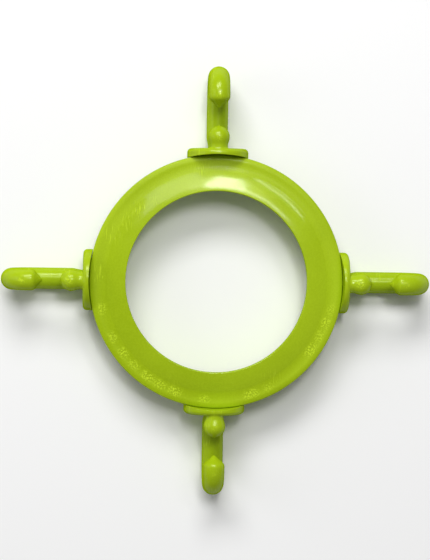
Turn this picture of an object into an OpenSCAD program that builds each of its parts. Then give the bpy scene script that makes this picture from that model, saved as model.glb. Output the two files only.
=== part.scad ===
// Chain collar for a traffic cone, in millimetres.
// A moulded ring drops over the top of the cone. Four C-hooks, each with its own flange and
// snap-in stem, sit in the ring's outer wall and take the barrier chain. Each hook turns a few
// degrees about its stem, until the lips of its flange's hollow back meet the ring.
// +Z is up, the side the hooks open to. The origin is on the ring's axis, in the plane of
// the four stem axes.

/* [Ring] */
// Diameter of the hole that drops over the cone
hole_d = 69; // [62:0.5:76]
// Width of the ring's section, from the hole to the outside
band_w = 13.8; // [13:0.2:14.6]
// Height of the inner lip above the stem axes
lip_h = 7; // [7:0.1:8]
// Depth of the two skirts below the stem axes
skirt_h = 7; // [6:0.1:9]
// Wall thickness of the ring
wall = 2; // [1.6:0.1:2]
// Half angle of the hole's flare towards its lower edge, in degrees
flare = 8; // [0:1:9]

/* [Hooks] */
// Diameter of the round flange that stands against the ring
flange_d = 23.4; // [22:0.2:26]
// Thickness of the flange in its middle, where its hollow back makes it thinnest
flange_t = 2.2; // [1.8:0.1:3]
// Diameter of the hook's rod and of the ball
rod_d = 8.2; // [7:0.1:8.6]
// Distance from the stem axis to the rod's centre line, and to the ball's
rod_offset = 7.5; // [7:0.1:8]
// Distance from the flange's outer face to the far end of the hook
reach = 31.3; // [29:0.1:36]
// Distance from the flange's outer face to the ball's centre
ball_reach = 4.3; // [4:0.1:5]

/* [Stems] */
// Diameter of the stem that turns in the ring
stem_d = 5; // [4:0.1:5]
// Clearance between the stem and its bore, on the radius
stem_clearance = 0.06; // [0.03:0.01:0.1]
// How far the barb stands out past the stem, on the radius
barb_lip = 0.6; // [0.4:0.05:0.6]

/* [Hidden] */
$fn = 96;
plastic = [0.65, 0.79, 0.1];

hole_r = hole_d / 2;
ring_r = hole_r + band_w;
// Depth from the lip to where the hole begins to flare
land_h = 2.7;
lip_round = 0.3;
// Slope of the ring's face at the lip and at the bend, falling outwards
lip_slope = 4.5;
bend_slope = 15;
bend_r = hole_r + 0.54 * band_w;
face_round = (bend_r - hole_r - lip_round * (1 - sin(lip_slope)))
    / (sin(bend_slope) - sin(lip_slope));
bend_h = lip_h - lip_round * (1 - cos(lip_slope))
    - face_round * (cos(lip_slope) - cos(bend_slope));
// Outside the bend the face is a shallow hollow that rises to a low crown. The crown bends
// down to crown_slope, where the outer edge's smaller rounding takes over.
hollow_rise = 3;
crown_round = 5;
crown_slope = 20;
edge_round = 0.7;
crown_r = ring_r - edge_round - (crown_round - edge_round) * sin(crown_slope);
hollow_round = (crown_r - crown_round * sin(hollow_rise) - bend_r)
    / (sin(bend_slope) + sin(hollow_rise));
crown_h = bend_h + hollow_round * (cos(bend_slope) - cos(hollow_rise))
    - crown_round * cos(hollow_rise);
edge_h = crown_h + (crown_round - edge_round) * cos(crown_slope);
foot_round = 0.6;
// Radius of the hole's edge at the foot of the inner skirt
foot_r = hole_r + (skirt_h + lip_h - land_h) * tan(flare);
channel_top = bend_h - wall;
channel_round = 1;

// Thick block behind the outer wall at each hook, which the stem's bore goes through
block_w = 14;
block_depth = 4.8;
block_x = ring_r - block_depth;
bore_r = stem_d / 2 + stem_clearance;

// The flange's back is hollowed to the ring's curve, a little way off it
seat_gap = 0.2;
saddle_r = ring_r + seat_gap;
flange_r = flange_d / 2;
flange_out = saddle_r + flange_t;
flange_edge = 1.7;
// The blank reaches in past the hollow's two lips before it is hollowed
blank_margin = 0.3;
blank_x = sqrt(pow(saddle_r, 2) - pow(flange_r, 2)) - blank_margin;
rod_r = rod_d / 2;
// Rod and ball post narrow a little where they leave the flange
root_r = rod_r - 0.6;
root_len = 4;
curl_x = flange_out + reach - rod_r - rod_offset;
ball_x = flange_out + ball_reach;
// Pointed end of the hook
nose_straight = 0.6;
nose_round = 0.6;
nose_c = nose_straight + rod_r - nose_round * sqrt(2);

barb_gap = 0.3;
barb_x = block_x - barb_gap;
barb_len = 3;
barb_tip_r = stem_d / 2 - 0.6;
slot_w = 1.4;
slot_len = 6;
// Length by which fused or cut pieces run into each other
bite = 0.5;

// Points along an arc, angles in degrees from the profile's first axis
function arc(centre, r, from, to, steps) =
    [for (i = [0:steps]) let (a = from + (to - from) * i / steps) centre + r * [cos(a), sin(a)]];

function lip_points() = concat(
    [[foot_r, -skirt_h], [hole_r, lip_h - land_h]],
    arc([hole_r + lip_round, lip_h - lip_round], lip_round, 180, 90 - lip_slope, 6)
);

function face_points() = arc(
    [bend_r - face_round * sin(bend_slope), bend_h - face_round * cos(bend_slope)],
    face_round, 90 - lip_slope, 90 - bend_slope, 8
);

function hollow_points() = arc(
    [bend_r + hollow_round * sin(bend_slope), bend_h + hollow_round * cos(bend_slope)],
    hollow_round, 270 - bend_slope, 270 + hollow_rise, 8
);

function shoulder_points() = concat(
    arc([crown_r, crown_h], crown_round, 90 + hollow_rise, 90 - crown_slope, 8),
    arc([ring_r - edge_round, edge_h], edge_round, 90 - crown_slope, 0, 6),
    arc([ring_r - foot_round, foot_round - skirt_h], foot_round, 0, -90, 4)
);

function channel_points() = concat(
    [[ring_r - wall, -skirt_h]],
    arc([ring_r - wall - channel_round, channel_top - channel_round], channel_round, 0, 90, 4),
    arc([hole_r + wall + channel_round, channel_top - channel_round], channel_round, 90, 180, 4),
    [[foot_r + wall, -skirt_h]]
);

// Section of the flange's blank: distance from the stem axis, then distance along it
function blank_points() = concat(
    [[0, 0], [flange_r, 0]],
    arc([flange_r - flange_edge, flange_out - blank_x - flange_edge], flange_edge, 0, 90, 6),
    [[0, flange_out - blank_x]]
);

function nose_points() = concat(
    [[0, 0], [rod_r, 0], [rod_r, nose_straight]],
    arc([0, nose_c], nose_round, 45, 90, 4)
);

// Turns a shape that stands along +Z to lie along +X
module along_x(x, z = 0)
    translate([x, 0, z])
        rotate([0, 90, 0])
            children();

module at_each_hook()
    for (a = [0:90:270])
        rotate([0, 0, a])
            children();

module ring_channel()
    rotate_extrude($fn = 180)
        polygon(concat(
            lip_points(), face_points(), hollow_points(), shoulder_points(), channel_points()
        ));

// Runs from the foot of the skirts up into the ring's face
module stem_block()
    translate([block_x, -block_w / 2, -skirt_h])
        cube([block_depth - wall + bite, block_w, skirt_h + channel_top + bite]);

module stem_bore()
    along_x(block_x - bite)
        cylinder(r = bore_r, h = block_depth + 2 * bite);

module ring()
    color(plastic)
        difference() {
            union() {
                ring_channel();
                at_each_hook() stem_block();
            }
            at_each_hook() stem_bore();
        }

module flange()
    difference() {
        along_x(blank_x)
            rotate_extrude()
                polygon(blank_points());
        cylinder(r = saddle_r, h = 2 * flange_d, center = true);
    }

module rod() {
    along_x(flange_out - bite, -rod_offset)
        cylinder(r1 = root_r, r2 = rod_r, h = root_len + bite);
    along_x(flange_out + root_len, -rod_offset)
        cylinder(r = rod_r, h = curl_x - flange_out - root_len);
}

// Half turn that brings the rod back over itself
module curl()
    translate([curl_x, 0, 0])
        rotate([90, 0, 0])
            rotate([0, 0, -90])
                rotate_extrude(angle = 180)
                    translate([rod_offset, 0])
                        circle(r = rod_r);

module nose()
    translate([curl_x, 0, rod_offset])
        rotate([0, -90, 0])
            rotate_extrude()
                polygon(nose_points());

module ball_post() {
    along_x(flange_out - bite, rod_offset)
        cylinder(r = root_r, h = ball_reach + bite);
    translate([ball_x, 0, rod_offset])
        sphere(r = rod_r);
}

// Split stem: it squeezes through the bore and the barb springs out behind the block
module stem()
    difference() {
        union() {
            along_x(barb_x - bite)
                cylinder(d = stem_d, h = saddle_r - barb_x + 2 * bite);
            along_x(barb_x - barb_len)
                cylinder(r1 = barb_tip_r, r2 = stem_d / 2 + barb_lip, h = barb_len);
        }
        translate([barb_x - barb_len - bite, -stem_d, -slot_w / 2])
            cube([slot_len + bite, 2 * stem_d, slot_w]);
    }

module hook(angle)
    color(plastic)
        rotate([0, 0, angle]) {
            flange();
            rod();
            curl();
            nose();
            ball_post();
            stem();
        }

module hook_right() hook(0);
module hook_rear() hook(90);
module hook_left() hook(180);
module hook_front() hook(270);

ring();
hook_right();
hook_rear();
hook_left();
hook_front();
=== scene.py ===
"""Looks of the traffic cone chain collar: finer meshes for its ring and hooks, plastic, light, camera."""
import math

import bpy
import numpy as np
from mathutils import Matrix, Vector, noise


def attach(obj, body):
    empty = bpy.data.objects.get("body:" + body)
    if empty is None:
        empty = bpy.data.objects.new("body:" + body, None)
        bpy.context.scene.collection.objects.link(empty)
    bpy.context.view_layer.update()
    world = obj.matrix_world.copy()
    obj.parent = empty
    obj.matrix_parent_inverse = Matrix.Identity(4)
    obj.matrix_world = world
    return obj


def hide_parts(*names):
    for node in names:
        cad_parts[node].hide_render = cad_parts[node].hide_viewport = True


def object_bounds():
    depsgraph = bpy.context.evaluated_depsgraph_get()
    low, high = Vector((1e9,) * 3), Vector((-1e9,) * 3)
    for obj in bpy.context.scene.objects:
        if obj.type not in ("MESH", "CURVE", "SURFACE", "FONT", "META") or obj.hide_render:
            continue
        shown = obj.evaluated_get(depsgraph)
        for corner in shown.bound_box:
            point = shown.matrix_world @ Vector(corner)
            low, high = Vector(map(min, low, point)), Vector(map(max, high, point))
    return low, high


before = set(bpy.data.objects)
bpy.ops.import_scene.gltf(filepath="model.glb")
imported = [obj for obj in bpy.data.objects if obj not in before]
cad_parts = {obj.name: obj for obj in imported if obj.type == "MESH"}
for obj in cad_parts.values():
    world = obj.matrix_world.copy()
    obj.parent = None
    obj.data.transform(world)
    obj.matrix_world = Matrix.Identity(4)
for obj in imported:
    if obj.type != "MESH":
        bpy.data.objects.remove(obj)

CAD_LOW, CAD_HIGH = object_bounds()
MM = 0.001

# Ring, in millimetres
HOLE_R = 34.5
RING_R = 48.3
LIP_H = 7.0
LAND_H = 2.7
LIP_ROUND = 0.3
SKIRT_H = 7.0
WALL = 2.0
FLARE = math.radians(8)
BEND_R = HOLE_R + 0.54 * (RING_R - HOLE_R)
LIP_SLOPE = math.radians(4.5)
BEND_SLOPE = math.radians(15)
HOLLOW_RISE = math.radians(3)
CROWN_ROUND = 5.0
CROWN_SLOPE = math.radians(20)
EDGE_ROUND = 0.7
FOOT_ROUND = 0.6
CHANNEL_ROUND = 1.0
BLOCK_HALF_W = 7.0
BLOCK_X = RING_R - 4.8
BORE_R = 2.56
BORE_SIDES = 64
# How far the bores' cutter runs past the block on either side
BORE_MARGIN = 0.8

# Hooks, in millimetres, in a frame whose X runs out along the stem
FLANGE_R = 11.7
SADDLE_R = RING_R + 0.14
FLANGE_OUT = RING_R + 2.4
FLANGE_EDGE = 1.7
ROD_R = 4.1
ROOT_R = 3.45
ROOT_LEN = 4.5
ROD_OFFSET = 7.5
HOOK_END = FLANGE_OUT + 31.3
CURL_X = HOOK_END - ROD_R - ROD_OFFSET
BALL_X = FLANGE_OUT + 4.3
NIB_R = 0.25
NOSE_STRAIGHT = 1.1
NOSE_TAPER = 3.6
NOSE_LEN = 4.5
STEM_R = 2.5
BARB_X = BLOCK_X - 0.3
BARB_LEN = 3.0
BARB_R = 3.1
BARB_TIP_R = 1.9
SLOT_HALF_W = 0.7
SLOT_END = BARB_X + 3.0
# How far rod, post and stem run into the flange, and the stem into the barb
BITE = 1.0

# Over what distance two of a hook's surfaces run into each other, in millimetres
SADDLE_BLEND = 0.12
RIM_BLEND = 0.1
FLANGE_BLEND = 0.6
ROOT_BLEND = 0.2
NOSE_BLEND = 0.8
TIP_BLEND = 0.3
BALL_BLEND = 0.7
NIB_BLEND = 0.5
ROD_BALL_BLEND = 0.3
BARB_BLEND = 0.25
SLOT_BLEND = 0.3
SLOT_EDGE_BLEND = 0.2

HOOK_ANGLES = {"hook_right": 0, "hook_rear": 90, "hook_left": 180, "hook_front": 270}

# Plastic, as linear colours: the darkest and the lightest of its drift, and the lighter colour of its scuffs,
# which is a painted sparkle highlight on real grit and scratches
LIME_DARK = (0.310, 0.445, 0.004, 1)
LIME_LIGHT = (0.350, 0.495, 0.007, 1)
LIME_SCUFF_SPARKLE = (0.60, 0.80, 0.03, 1)
REFLECTION_TINT = (0.9, 1.0, 0.35, 1)
# Its roughness as made, and what wear and scuffs add to that
ROUGH_AS_MADE = (0.18, 0.23)
WORN_ROUGH = 0.22
SCUFF_ROUGH = -0.2
# Scales of its noises, per metre
DRIFT_SCALE = 35
PEEL_SCALE = 260
GRIT_SCALE = 1500
SCRATCHED_SCALE = 130

# Heights of the worn places, and radii of the ring's worn flank and of its crest, in millimetres
RING_WEAR_H = 5.5
HOOK_WEAR_H = 11.3
FLANK_FROM, FLANK_FULL = 41.8, 42.6
CREST_R = 44.6
CREST_CORE, CREST_EDGE = 0.8, 2.4
# Each worn place, set where highlights sparkle and lightened there as a painted highlight: azimuth in degrees
# from the rear towards the right, radius, reach, strength
GRIT_SPARKLE_SPOTS = ((215, 44.1, 3.8, 1.0), (208, 44.3, 3.6, 0.7), (200, 44.5, 3.8, 0.9), (185, 45.7, 3.2, 0.8),
              (224, 44.2, 3.4, 0.6), (232, 44.3, 3.4, 0.7), (241, 44.8, 3.2, 0.6), (256, 45.0, 3.2, 0.5),
              (162, 45.2, 4.2, 0.8), (153, 44.8, 3.2, 0.4), (125, 44.0, 4.2, 0.9), (117, 44.2, 3.4, 0.6),
              (110, 44.4, 3.6, 0.8), (103, 45.6, 3.2, 0.5))
SCRATCH_SPARKLE_SPOTS = ((312, 39.4, 5, 1.0), (303, 41.5, 5, 0.8), (294, 43.4, 5, 0.8), (274, 44.4, 5, 0.9),
                 (323, 37.9, 4, 0.7), (352, 42.5, 4, 0.6), (205, 42.0, 5, 0.4), (150, 43.5, 6, 0.5))
# Patches on the hooks' balls and points, set where highlights fall and lightened there as a painted highlight
HOOK_SPARKLE_SPOTS = ((90, 54.6, 2.5, 0.8), (90, 72.0, 1.8, 0.5), (270, 56.0, 2.4, 0.7), (270, 73.6, 2.2, 0.6),
              (180, 55.0, 1.8, 0.4), (0, 54.8, 1.8, 0.4), (0, 70.5, 1.8, 0.5), (180, 73.0, 1.6, 0.3))


# ---------------------------------------------------------------- camera, light and floor

def link(obj):
    bpy.context.scene.collection.objects.link(obj)
    return obj


def make_camera():
    """Looks down on the collar from a little left of its axis and a little to the rear."""
    distance = 0.775
    left, rear = math.radians(2.6), math.radians(2.3)
    roll = math.radians(0.9)
    view_height = 0.2142
    data = bpy.data.cameras.new("camera")
    data.sensor_width = 36
    data.lens = data.sensor_width * distance / view_height
    camera = link(bpy.data.objects.new("camera", data))
    target = Vector((-0.0003, 0.0005, 0))
    camera.location = target + distance * Vector((-math.sin(left), math.sin(rear), math.cos(left)))
    back = (camera.location - target).normalized()
    up = Vector((0, 1, 0))
    side = up.cross(back).normalized()
    up = back.cross(side)
    turn = Matrix((side, up, back)).transposed()
    camera.rotation_euler = (turn @ Matrix.Rotation(roll, 3, "Z")).to_euler()
    bpy.context.scene.camera = camera


def softbox(name, azimuth, tilt, size, power):
    """An area light that faces the ring's centre, with its azimuth in degrees from the rear towards
    the right, and its tilt from overhead."""
    distance = 1.5
    azimuth, tilt = math.radians(azimuth), math.radians(tilt)
    across = math.sin(tilt)
    data = bpy.data.lights.new(name, "AREA")
    data.shape = "RECTANGLE"
    data.size, data.size_y = size
    data.energy = power
    lamp = link(bpy.data.objects.new(name, data))
    towards = Vector((across * math.sin(azimuth), across * math.cos(azimuth), math.cos(tilt)))
    lamp.location = distance * towards
    lamp.rotation_euler = towards.to_track_quat("Z", "Y").to_euler()


def make_light():
    softbox("key", -22, 23, (0.46, 0.44), 2.4)
    softbox("core", 13, 20, (0.19, 0.33), 5.0)
    softbox("streak_low", 42, 16, (0.27, 0.06), 0.7)
    softbox("streak_high", 42, 31, (0.44, 0.05), 0.85)
    softbox("rear", -12, 46, (1.0, 0.45), 15)
    softbox("left", -80, 66, (0.9, 0.9), 3.4)
    world = bpy.data.worlds.new("studio")
    world.use_nodes = True
    sky = world.node_tree.nodes["Background"]
    sky.inputs["Color"].default_value = (1, 1, 1, 1)
    sky.inputs["Strength"].default_value = 0.17
    bpy.context.scene.world = world
    bpy.context.scene.view_settings.view_transform = "Standard"


def make_floor():
    """A pale sheet under the collar's lowest points."""
    half = 3.0
    corners = [(x * half, y * half, CAD_LOW.z) for x, y in ((-1, -1), (1, -1), (1, 1), (-1, 1))]
    mesh = bpy.data.meshes.new("floor")
    mesh.from_pydata(corners, [], [(0, 1, 2, 3)])
    paper = bpy.data.materials.new("paper")
    paper.use_nodes = True
    shader = paper.node_tree.nodes["Principled BSDF"]
    shader.inputs["Base Color"].default_value = (0.92, 0.92, 0.92, 1)
    shader.inputs["Roughness"].default_value = 0.9
    mesh.materials.append(paper)
    link(bpy.data.objects.new("floor", mesh))


make_camera()
make_light()
make_floor()


# ---------------------------------------------------------------- plastic

def add(tree, kind, **settings):
    node = tree.nodes.new(kind)
    for key, value in settings.items():
        setattr(node, key, value)
    return node


def noise_node(tree, where, scale, detail, rough=0.5):
    node = add(tree, "ShaderNodeTexNoise")
    node.inputs["Scale"].default_value = scale
    node.inputs["Detail"].default_value = detail
    node.inputs["Roughness"].default_value = rough
    tree.links.new(where, node.inputs["Vector"])
    return node.outputs["Fac"]


def spread(tree, value, low, high, to_low=0.0, to_high=1.0):
    """Carries a value smoothly from one range to another, and holds it there."""
    node = add(tree, "ShaderNodeMapRange", interpolation_type="SMOOTHSTEP")
    for socket, number in zip(("From Min", "From Max", "To Min", "To Max"), (low, high, to_low, to_high)):
        node.inputs[socket].default_value = number
    tree.links.new(value, node.inputs["Value"])
    return node.outputs["Result"]


def maths(tree, operation, *values):
    node = add(tree, "ShaderNodeMath", operation=operation)
    for socket, value in zip(node.inputs, values):
        if isinstance(value, (int, float)):
            socket.default_value = value
        else:
            tree.links.new(value, socket)
    return node.outputs["Value"]


def distance_from_axis(tree, where):
    """A place's distance from the ring's axis."""
    parts = add(tree, "ShaderNodeSeparateXYZ")
    tree.links.new(where, parts.inputs["Vector"])
    square = maths(tree, "ADD", maths(tree, "MULTIPLY", parts.outputs["X"], parts.outputs["X"]),
                   maths(tree, "MULTIPLY", parts.outputs["Y"], parts.outputs["Y"]))
    return maths(tree, "SQRT", square)


def spots(tree, where, places, height):
    """Soft-edged patches at one height."""
    total = 0.0
    for azimuth, radius, reach, strength in places:
        turn = math.radians(azimuth)
        far = add(tree, "ShaderNodeVectorMath", operation="DISTANCE")
        tree.links.new(where, far.inputs[0])
        centre = Vector((radius * math.sin(turn), radius * math.cos(turn), height)) * MM
        far.inputs[1].default_value = centre
        patch = spread(tree, far.outputs["Value"], reach * MM, 0.25 * reach * MM, 0, strength)
        total = maths(tree, "MAXIMUM", patch, total)
    return total


def scratch_lines(tree, where, angle, width, length, rarity):
    """Fine straight scratches that run at an angle across the face."""
    turned = add(tree, "ShaderNodeMapping")
    turned.inputs["Rotation"].default_value = (0, 0, math.radians(angle))
    turned.inputs["Scale"].default_value = (1, width / length, width / length)
    tree.links.new(where, turned.inputs["Vector"])
    lines = noise_node(tree, turned.outputs["Vector"], 0.6 / (width * MM), 1)
    return spread(tree, lines, rarity, rarity + 0.06)


def all_scratches(tree, where):
    """Fine scratches in three directions: angle, width and length in millimetres, and how rare they are."""
    directions = ((35, 0.24, 3.5, 0.64), (-50, 0.22, 3, 0.65), (75, 0.26, 4, 0.66))
    total = 0.0
    for direction in directions:
        total = maths(tree, "MAXIMUM", scratch_lines(tree, where, *direction), total)
    return total


def ring_wear_and_sparkle(tree, where):
    """How worn, gritty and scratched the ring is: its outer flank knocks against cones and other collars, and
    its grit and scratch patches, set where highlights sparkle, lighten the colour as a painted highlight.
    """
    radius = distance_from_axis(tree, where)
    worn = spread(tree, radius, FLANK_FROM * MM, FLANK_FULL * MM)
    off_crest = maths(tree, "ABSOLUTE", maths(tree, "SUBTRACT", radius, CREST_R * MM))
    crest = spread(tree, off_crest, CREST_EDGE * MM, CREST_CORE * MM)
    # Grit patches only along the crest, where the painted sparkle highlight goes
    patches = maths(tree, "MULTIPLY", spots(tree, where, GRIT_SPARKLE_SPOTS, RING_WEAR_H), crest)
    grit_and_sparkle = maths(tree, "ADD", patches, 0.08)
    scratch_and_sparkle = maths(tree, "ADD", spots(tree, where, SCRATCH_SPARKLE_SPOTS, RING_WEAR_H), 0.10)
    return worn, grit_and_sparkle, scratch_and_sparkle


def hook_wear_and_sparkle(tree, where):
    """How worn, gritty and scratched the hooks are, in patches on their balls and points set where highlights
    fall, which lighten the colour as a painted highlight.
    """
    worn = 0.3
    grit_and_sparkle = maths(tree, "ADD", spots(tree, where, HOOK_SPARKLE_SPOTS, HOOK_WEAR_H), 0.05)
    scratch_and_sparkle = spread(tree, noise_node(tree, where, SCRATCHED_SCALE, 1), 0.5, 0.65)
    scratch_and_sparkle = maths(tree, "MULTIPLY", scratch_and_sparkle, 0.4)
    return worn, grit_and_sparkle, scratch_and_sparkle


def make_plastic(name, wear, gloss, coat, coat_lost=None, coat_facing=None):
    """Lime polyethylene, glossy on top and satin down its sides, with orange peel, scratches and grit, whose
    lighter colour is a painted sparkle highlight.

    gloss is how far up a surface faces, from 0 to 1, where its gloss begins and where it is full, and
    coat_facing the same for its clear, sharp reflection. coat_lost is how much of that wear takes away.
    """
    material = bpy.data.materials.new(name)
    material.use_nodes = True
    tree = material.node_tree
    shader = tree.nodes["Principled BSDF"]
    place = add(tree, "ShaderNodeTexCoord")
    where = place.outputs["Object"]
    facing = add(tree, "ShaderNodeSeparateXYZ")
    tree.links.new(place.outputs["Normal"], facing.inputs["Vector"])
    upward = spread(tree, facing.outputs["Z"], *gloss)
    worn, grit_and_sparkle, scratch_and_sparkle = wear(tree, where)

    coat_upward = spread(tree, facing.outputs["Z"], *coat_facing) if coat_facing else upward
    if coat_lost:
        coat = maths(tree, "MULTIPLY_ADD", worn, -coat_lost, coat)
    tree.links.new(maths(tree, "MULTIPLY", coat_upward, coat), shader.inputs["Coat Weight"])
    shader.inputs["Coat Roughness"].default_value = 0.10

    grit = spread(tree, noise_node(tree, where, GRIT_SCALE, 3, 0.6), 0.46, 0.57)
    # Grit and scratches: real bumps and roughness, and a lighter colour that is a painted sparkle highlight
    scuffs_and_sparkle = maths(tree, "MAXIMUM", maths(tree, "MULTIPLY", grit, grit_and_sparkle),
                   maths(tree, "MULTIPLY", all_scratches(tree, where), scratch_and_sparkle))

    drift = noise_node(tree, where, DRIFT_SCALE, 3)
    colour = add(tree, "ShaderNodeMix", data_type="RGBA")
    colour.inputs["A"].default_value = LIME_DARK
    colour.inputs["B"].default_value = LIME_LIGHT
    tree.links.new(spread(tree, drift, 0.3, 0.7), colour.inputs["Factor"])
    # The scuffs are lightened here as a painted sparkle highlight
    scuff_sparkle_colour = add(tree, "ShaderNodeMix", data_type="RGBA")
    scuff_sparkle_colour.inputs["B"].default_value = LIME_SCUFF_SPARKLE
    tree.links.new(scuffs_and_sparkle, scuff_sparkle_colour.inputs["Factor"])
    tree.links.new(colour.outputs["Result"], scuff_sparkle_colour.inputs["A"])
    tree.links.new(scuff_sparkle_colour.outputs["Result"], shader.inputs["Base Color"])

    rough = spread(tree, drift, 0.2, 0.8, *ROUGH_AS_MADE)
    rough = maths(tree, "ADD", rough, maths(tree, "MULTIPLY", worn, WORN_ROUGH))
    rough = maths(tree, "ADD", rough, maths(tree, "MULTIPLY", scuffs_and_sparkle, SCUFF_ROUGH))
    tree.links.new(rough, shader.inputs["Roughness"])
    tree.links.new(maths(tree, "MULTIPLY", upward, 0.32), shader.inputs["Specular IOR Level"])
    shader.inputs["Specular Tint"].default_value = REFLECTION_TINT
    shader.inputs["IOR"].default_value = 1.5

    peel = noise_node(tree, where, PEEL_SCALE, 2)
    bump = add(tree, "ShaderNodeBump")
    bump.inputs["Strength"].default_value = 0.8
    bump.inputs["Distance"].default_value = 0.1 * MM
    tree.links.new(maths(tree, "ADD", maths(tree, "MULTIPLY", peel, 0.12), scuffs_and_sparkle), bump.inputs["Height"])
    tree.links.new(bump.outputs["Normal"], shader.inputs["Normal"])
    return material


# ---------------------------------------------------------------- ring

def arc(centre, radius, start, end, steps):
    turns = np.linspace(start, end, steps + 1)
    return [(centre[0] + radius * math.cos(t), centre[1] + radius * math.sin(t)) for t in turns]


def line(start, end, steps):
    """Points between two ends, without the ends themselves."""
    return [tuple(p) for p in np.linspace(start, end, steps + 1)[1:-1]]


def ring_section():
    """The ring's section as a closed loop of (radius, height), and which points are in the channel."""
    quarter = math.pi / 2
    face_round = (BEND_R - HOLE_R - LIP_ROUND * (1 - math.sin(LIP_SLOPE))) / (
        math.sin(BEND_SLOPE) - math.sin(LIP_SLOPE))
    bend_h = (LIP_H - LIP_ROUND * (1 - math.cos(LIP_SLOPE))
              - face_round * (math.cos(LIP_SLOPE) - math.cos(BEND_SLOPE)))
    crown_r = RING_R - EDGE_ROUND - (CROWN_ROUND - EDGE_ROUND) * math.sin(CROWN_SLOPE)
    hollow_round = (crown_r - CROWN_ROUND * math.sin(HOLLOW_RISE) - BEND_R) / (
        math.sin(BEND_SLOPE) + math.sin(HOLLOW_RISE))
    crown_h = (bend_h + hollow_round * (math.cos(BEND_SLOPE) - math.cos(HOLLOW_RISE))
               - CROWN_ROUND * math.cos(HOLLOW_RISE))
    edge_h = crown_h + (CROWN_ROUND - EDGE_ROUND) * math.cos(CROWN_SLOPE)
    foot_r = HOLE_R + (SKIRT_H + LIP_H - LAND_H) * math.tan(FLARE)
    channel_top = bend_h - WALL

    lip = arc((HOLE_R + LIP_ROUND, LIP_H - LIP_ROUND), LIP_ROUND, math.pi, quarter - LIP_SLOPE, 8)
    face = arc((BEND_R - face_round * math.sin(BEND_SLOPE), bend_h - face_round * math.cos(BEND_SLOPE)),
               face_round, quarter - LIP_SLOPE, quarter - BEND_SLOPE, 18)
    hollow = arc((BEND_R + hollow_round * math.sin(BEND_SLOPE), bend_h + hollow_round * math.cos(BEND_SLOPE)),
                 hollow_round, 3 * quarter - BEND_SLOPE, 3 * quarter + HOLLOW_RISE, 12)
    crown = arc((crown_r, crown_h), CROWN_ROUND, quarter + HOLLOW_RISE, quarter - CROWN_SLOPE, 14)
    edge = arc((RING_R - EDGE_ROUND, edge_h), EDGE_ROUND, quarter - CROWN_SLOPE, 0, 10)
    foot = arc((RING_R - FOOT_ROUND, FOOT_ROUND - SKIRT_H), FOOT_ROUND, 0, -quarter, 6)
    corner_out = arc((RING_R - WALL - CHANNEL_ROUND, channel_top - CHANNEL_ROUND), CHANNEL_ROUND,
                     0, quarter, 6)
    corner_in = arc((HOLE_R + WALL + CHANNEL_ROUND, channel_top - CHANNEL_ROUND), CHANNEL_ROUND,
                    quarter, math.pi, 6)
    outer_foot = (RING_R - WALL, -SKIRT_H)
    inner_foot = (foot_r + WALL, -SKIRT_H)
    hole_foot = (foot_r, -SKIRT_H)
    land_foot = (HOLE_R, LIP_H - LAND_H)

    outside = lip + face[1:] + hollow[1:] + crown[1:] + edge[1:] + line(edge[-1], foot[0], 22) + foot
    channel = (line(foot[-1], outer_foot, 3) + [outer_foot] + line(outer_foot, corner_out[0], 16) + corner_out
               + line(corner_out[-1], corner_in[0], 8) + corner_in + line(corner_in[-1], inner_foot, 12)
               + [inner_foot])
    hole = (line(inner_foot, hole_foot, 4) + [hole_foot] + line(hole_foot, land_foot, 14) + [land_foot]
            + line(land_foot, lip[0], 9))
    in_channel = np.zeros(len(outside) + len(channel) + len(hole), bool)
    in_channel[len(outside) + 2:len(outside) + len(channel)] = True
    return np.array(outside + channel + hole), in_channel


def ring_angles():
    """Angles round the ring, closer together where a stem block begins and ends."""
    least_step = 0.04
    even = np.linspace(0, 360, 360, endpoint=False)
    block_end = math.degrees(math.atan2(BLOCK_HALF_W, BLOCK_X))
    close = [centre + side * (block_end + step) for centre in HOOK_ANGLES.values() for side in (-1, 1)
             for step in np.linspace(-0.5, 0.7, 13)]
    angles = np.unique(np.round(np.concatenate([even, np.mod(close, 360)]), 4))
    keep = np.diff(np.append(angles, angles[0] + 360)) > least_step
    return np.radians(angles[keep])


def ease(value, low, high):
    """A smooth step from 0 at low to 1 at high."""
    t = np.clip((value - low) / (high - low), 0, 1)
    return t * t * (3 - 2 * t)


def shape_ring():
    """Every point of the ring: its section turned round the axis, with the stem blocks worked in."""
    section, in_channel = ring_section()
    angles = ring_angles()
    radius = np.tile(section[:, 0], (len(angles), 1))
    height = np.tile(section[:, 1], (len(angles), 1))
    from_hook = np.mod(angles + math.pi / 4, math.pi / 2) - math.pi / 4

    block = BLOCK_X / np.cos(from_hook)[:, None]
    across = np.abs(BLOCK_X * np.tan(from_hook))[:, None]
    inside = 1 - ease(across, BLOCK_HALF_W - 0.1, BLOCK_HALF_W + 0.3)
    still = HOLE_R + WALL + 2 * CHANNEL_ROUND
    share = (block - still) / (RING_R - WALL - still)
    pulled = still + (radius - still) * share
    moved = in_channel[None, :] & (radius > still)
    radius = np.where(moved, radius + inside * (pulled - radius), radius)
    return angles, radius, height


def close_mesh(name, points, rows, columns):
    """A mesh from a grid of points that closes on itself both ways."""
    index = np.arange(rows * columns).reshape(rows, columns)
    right, down = np.roll(index, -1, 0), np.roll(index, -1, 1)
    both = np.roll(down, -1, 0)
    quads = np.stack([index, right, both, down], -1).reshape(-1, 4)
    mesh = bpy.data.meshes.new(name)
    mesh.from_pydata(points.tolist(), [], quads.tolist())
    mesh.update()
    return mesh


def waves_at(place):
    """How far the moulding has drawn in at a place, in millimetres: long, slight waves and shorter ones."""
    return 0.05 * noise.noise(place * 0.06) + 0.02 * noise.noise(place * 0.2)


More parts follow.
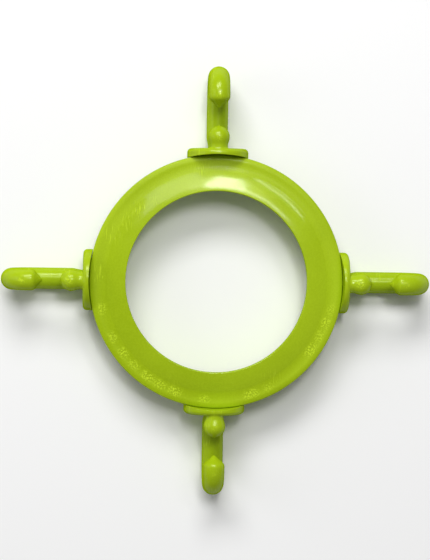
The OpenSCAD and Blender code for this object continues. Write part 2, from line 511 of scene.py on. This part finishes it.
def make_ring(material):
    """The waves lift the ring's face, and move its sides in or out except in the hole."""
    side_top, face_foot = 3.0, 4.5
    angles, radius, height = shape_ring()
    x = radius * np.cos(angles)[:, None]
    y = radius * np.sin(angles)[:, None]
    points = np.stack([x, y, height], -1).reshape(-1, 3)
    waves = np.array([waves_at(Vector(p)) for p in points])
    sides = np.hypot(points[:, 0], points[:, 1])[:, None]
    outward = np.concatenate([points[:, :2] / sides, np.zeros((len(points), 1))], 1)
    on_top = ease(points[:, 2], side_top, face_foot)
    points[:, 2] += waves * on_top
    points += outward * (waves * (1 - on_top))[:, None] * (sides > HOLE_R + WALL)
    mesh = close_mesh("collar_ring", points * MM, *radius.shape)
    ring = link(bpy.data.objects.new("collar_ring", mesh))
    bore_ring(ring)
    finish_mesh(ring, material, 35)
    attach(ring, "collar")
    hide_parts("ring")


def bore_ring(ring):
    """Cuts the four stem bores. No cutter edge lies in the ring's own rows of points."""
    verts, faces = [], []
    for angle in HOOK_ANGLES.values():
        turn = Matrix.Rotation(math.radians(angle), 3, "Z")
        inner = len(verts)
        outer = inner + BORE_SIDES
        for x in (BLOCK_X - BORE_MARGIN, RING_R + BORE_MARGIN):
            for k in range(BORE_SIDES):
                t = 2 * math.pi * (k + 0.5) / BORE_SIDES
                verts.append(turn @ Vector((x, BORE_R * math.cos(t), BORE_R * math.sin(t))) * MM)
        for k in range(BORE_SIDES):
            after = (k + 1) % BORE_SIDES
            faces.append((inner + k, inner + after, outer + after, outer + k))
        faces.append(tuple(range(outer - 1, inner - 1, -1)))
        faces.append(tuple(range(outer, outer + BORE_SIDES)))
    mesh = bpy.data.meshes.new("bores")
    mesh.from_pydata([tuple(v) for v in verts], [], faces)
    cutter = link(bpy.data.objects.new("bores", mesh))
    cut = ring.modifiers.new("bores", "BOOLEAN")
    cut.operation, cut.solver, cut.object = "DIFFERENCE", "EXACT", cutter
    graph = bpy.context.evaluated_depsgraph_get()
    bored = bpy.data.meshes.new_from_object(ring.evaluated_get(graph))
    ring.modifiers.clear()
    ring.data = bored
    bpy.data.objects.remove(cutter)


def finish_mesh(piece, material, sharp_angle):
    """One material, and smooth shading except along edges sharper than an angle in degrees."""
    mesh = piece.data
    mesh.materials.clear()
    mesh.materials.append(material)
    mesh.polygons.foreach_set("material_index", np.zeros(len(mesh.polygons), np.int32))
    mesh.polygons.foreach_set("use_smooth", np.ones(len(mesh.polygons), bool))
    mesh.set_sharp_from_angle(angle=math.radians(sharp_angle))
    mesh.update()


# ---------------------------------------------------------------- hooks

def smooth_min(a, b, blend):
    """The union of two solids' distances, rounded where they meet."""
    h = np.clip(0.5 + 0.5 * (b - a) / blend, 0, 1)
    return b + (a - b) * h - blend * h * (1 - h)


def smooth_max(a, b, blend):
    """The intersection of two solids' distances, rounded where they meet."""
    return -smooth_min(-a, -b, blend)


def flange_distance(x, y, z):
    """A disc with a rounded outer edge, hollowed behind to the ring's curve."""
    out = np.hypot(y, z) - (FLANGE_R - FLANGE_EDGE)
    along = x - (FLANGE_OUT - FLANGE_EDGE)
    outside = np.hypot(np.maximum(out, 0), np.maximum(along, 0))
    inside = np.minimum(np.maximum(out, along), 0)
    return smooth_max(outside + inside - FLANGE_EDGE, SADDLE_R - np.hypot(x, y), SADDLE_BLEND)


def rod_distance(x, y, z):
    """The rod, its half turn and its pointed end."""
    root = ROD_R - (ROD_R - ROOT_R) * (1 - ease(x, FLANGE_OUT + 0.3, FLANGE_OUT + ROOT_LEN))
    rod = smooth_max(np.hypot(y, z + ROD_OFFSET) - root, FLANGE_OUT - BITE - x, ROOT_BLEND)
    along = CURL_X - x
    side = np.hypot(y, z - ROD_OFFSET) - ROD_R
    cone = (side * NOSE_TAPER + (along - NOSE_STRAIGHT) * ROD_R) / math.hypot(NOSE_TAPER, ROD_R)
    nose = smooth_max(smooth_max(side, cone, NOSE_BLEND), along - NOSE_LEN, TIP_BLEND)
    curl = np.hypot(np.hypot(x - CURL_X, z) - ROD_OFFSET, y) - ROD_R
    return np.where(x >= CURL_X, curl, np.minimum(rod, nose))


def ball_distance(x, y, z):
    """The ball, the little gate nib at its far side, and its post."""
    ball = np.sqrt((x - BALL_X) ** 2 + y ** 2 + (z - ROD_OFFSET) ** 2) - ROD_R
    nib = np.sqrt((x - BALL_X - ROD_R) ** 2 + y ** 2 + (z - ROD_OFFSET) ** 2) - NIB_R
    post = smooth_max(np.hypot(y, z - ROD_OFFSET) - ROOT_R,
                      np.maximum(FLANGE_OUT - BITE - x, x - BALL_X), ROOT_BLEND)
    return smooth_min(smooth_min(ball, post, BALL_BLEND), nib, NIB_BLEND)


def stem_distance(x, y, z):
    """The stem and its barb, split at their inner end."""
    out = np.hypot(y, z)
    stem = np.maximum(out - STEM_R, np.maximum(BARB_X - BITE - x, x - SADDLE_R - BITE))
    reach = (BARB_X - x) / BARB_LEN
    barb = smooth_max(out - (BARB_R - (BARB_R - BARB_TIP_R) * reach),
                      np.maximum(BARB_X - BARB_LEN - x, x - BARB_X), BARB_BLEND)
    slot = smooth_max(np.abs(z) - SLOT_HALF_W, x - SLOT_END, SLOT_BLEND)
    return smooth_max(np.minimum(stem, barb), -slot, SLOT_EDGE_BLEND)


def hook_distance(x, y, z):
    """Distance from the hook's surface, in millimetres, negative inside."""
    body = smooth_min(rod_distance(x, y, z), ball_distance(x, y, z), ROD_BALL_BLEND)
    body = smooth_min(flange_distance(x, y, z), body, FLANGE_BLEND)
    body = smooth_max(body, np.hypot(y, z) - FLANGE_R, RIM_BLEND)
    return np.minimum(body, stem_distance(x, y, z))


def surface(distance, low, high, step):
    """Quads on a field's zero surface: one point in each cell it crosses, then drawn onto it.

    Each grid edge that the surface crosses gives a quad, whose corners are the points of the four cells
    round that edge. A cell's point is the mean of the crossings on its edges.
    """
    axes = [np.arange(a, b + step, step) for a, b in zip(low, high)]
    field = distance(*np.meshgrid(*axes, indexing="ij"))
    cells = np.array(field.shape) - 1
    total = np.zeros((*cells, 3))
    count = np.zeros(cells)
    quads = []
    for axis in range(3):
        near = field.take(range(cells[axis]), axis)
        far = field.take(range(1, cells[axis] + 1), axis)
        crossed = np.argwhere((near < 0) != (far < 0))
        inward = near[tuple(crossed.T)] < 0
        part = near[tuple(crossed.T)] / (near[tuple(crossed.T)] - far[tuple(crossed.T)])
        point = crossed.astype(float)
        point[:, axis] += part
        u, v = (axis + 1) % 3, (axis + 2) % 3
        around = []
        for du, dv in ((0, 0), (-1, 0), (-1, -1), (0, -1)):
            cell = crossed.copy()
            cell[:, u] += du
            cell[:, v] += dv
            np.add.at(total, tuple(cell.T), point)
            np.add.at(count, tuple(cell.T), 1)
            around.append(np.ravel_multi_index(tuple(cell.T), cells))
        around = np.stack(around, 1)
        quads.append(np.where(inward[:, None], around, around[:, ::-1]))
    quads = np.concatenate(quads)
    used, faces = np.unique(quads, return_inverse=True)
    faces = faces.reshape(-1, 4)
    points = (total.reshape(-1, 3)[used] / count.reshape(-1)[used][:, None]) * step + np.array(low)
    for relax in (0.5, 0.5, 0.5, 0):
        points = draw_on(distance, points + relax * (neighbour_mean(points, faces) - points), step)
    return points, faces


def neighbour_mean(points, faces):
    """The mean of the points at the other ends of each point's edges."""
    total = np.zeros_like(points)
    count = np.zeros(len(points))
    for a, b in ((0, 1), (1, 2), (2, 3), (3, 0)):
        np.add.at(total, faces[:, a], points[faces[:, b]])
        np.add.at(count, faces[:, a], 1)
    return total / count[:, None]


def draw_on(distance, points, step):
    """Moves points onto the zero surface along the field's slope."""
    small = 0.02
    least_slope = 0.5
    for _ in range(3):
        here = distance(*points.T)
        slope = np.stack([distance(*(points + d).T) - distance(*(points - d).T)
                          for d in np.eye(3) * small], 1) / (2 * small)
        size = np.maximum((slope ** 2).sum(1), least_slope ** 2)
        points = points - np.clip(here / size, -step, step)[:, None] * slope
    return points


def make_hooks(material):
    """One mesh, turned to each hook's place. The grid reaches a little over two steps past it."""
    step = 0.21
    margin = 2.05 * step
    low = (BARB_X - BARB_LEN - margin, -FLANGE_R - margin, -FLANGE_R - margin)
    high = (HOOK_END + margin, FLANGE_R + margin, FLANGE_R + margin)
    points, faces = surface(hook_distance, low, high, step)
    master = bpy.data.meshes.new("hook")
    master.from_pydata((points * MM).tolist(), [], faces.tolist())
    for name, angle in HOOK_ANGLES.items():
        mesh = master.copy()
        mesh.transform(Matrix.Rotation(math.radians(angle), 4, "Z"))
        hook = link(bpy.data.objects.new("snap_" + name, mesh))
        finish_mesh(hook, material, 50)
        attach(hook, name)
        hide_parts(name)


make_ring(make_plastic("ring_plastic", ring_wear_and_sparkle, gloss=(0.12, 0.55), coat=0.45, coat_lost=0.40))
make_hooks(make_plastic("hook_plastic", hook_wear_and_sparkle, gloss=(0.35, 0.85), coat=0.3, coat_facing=(0.75, 0.95)))
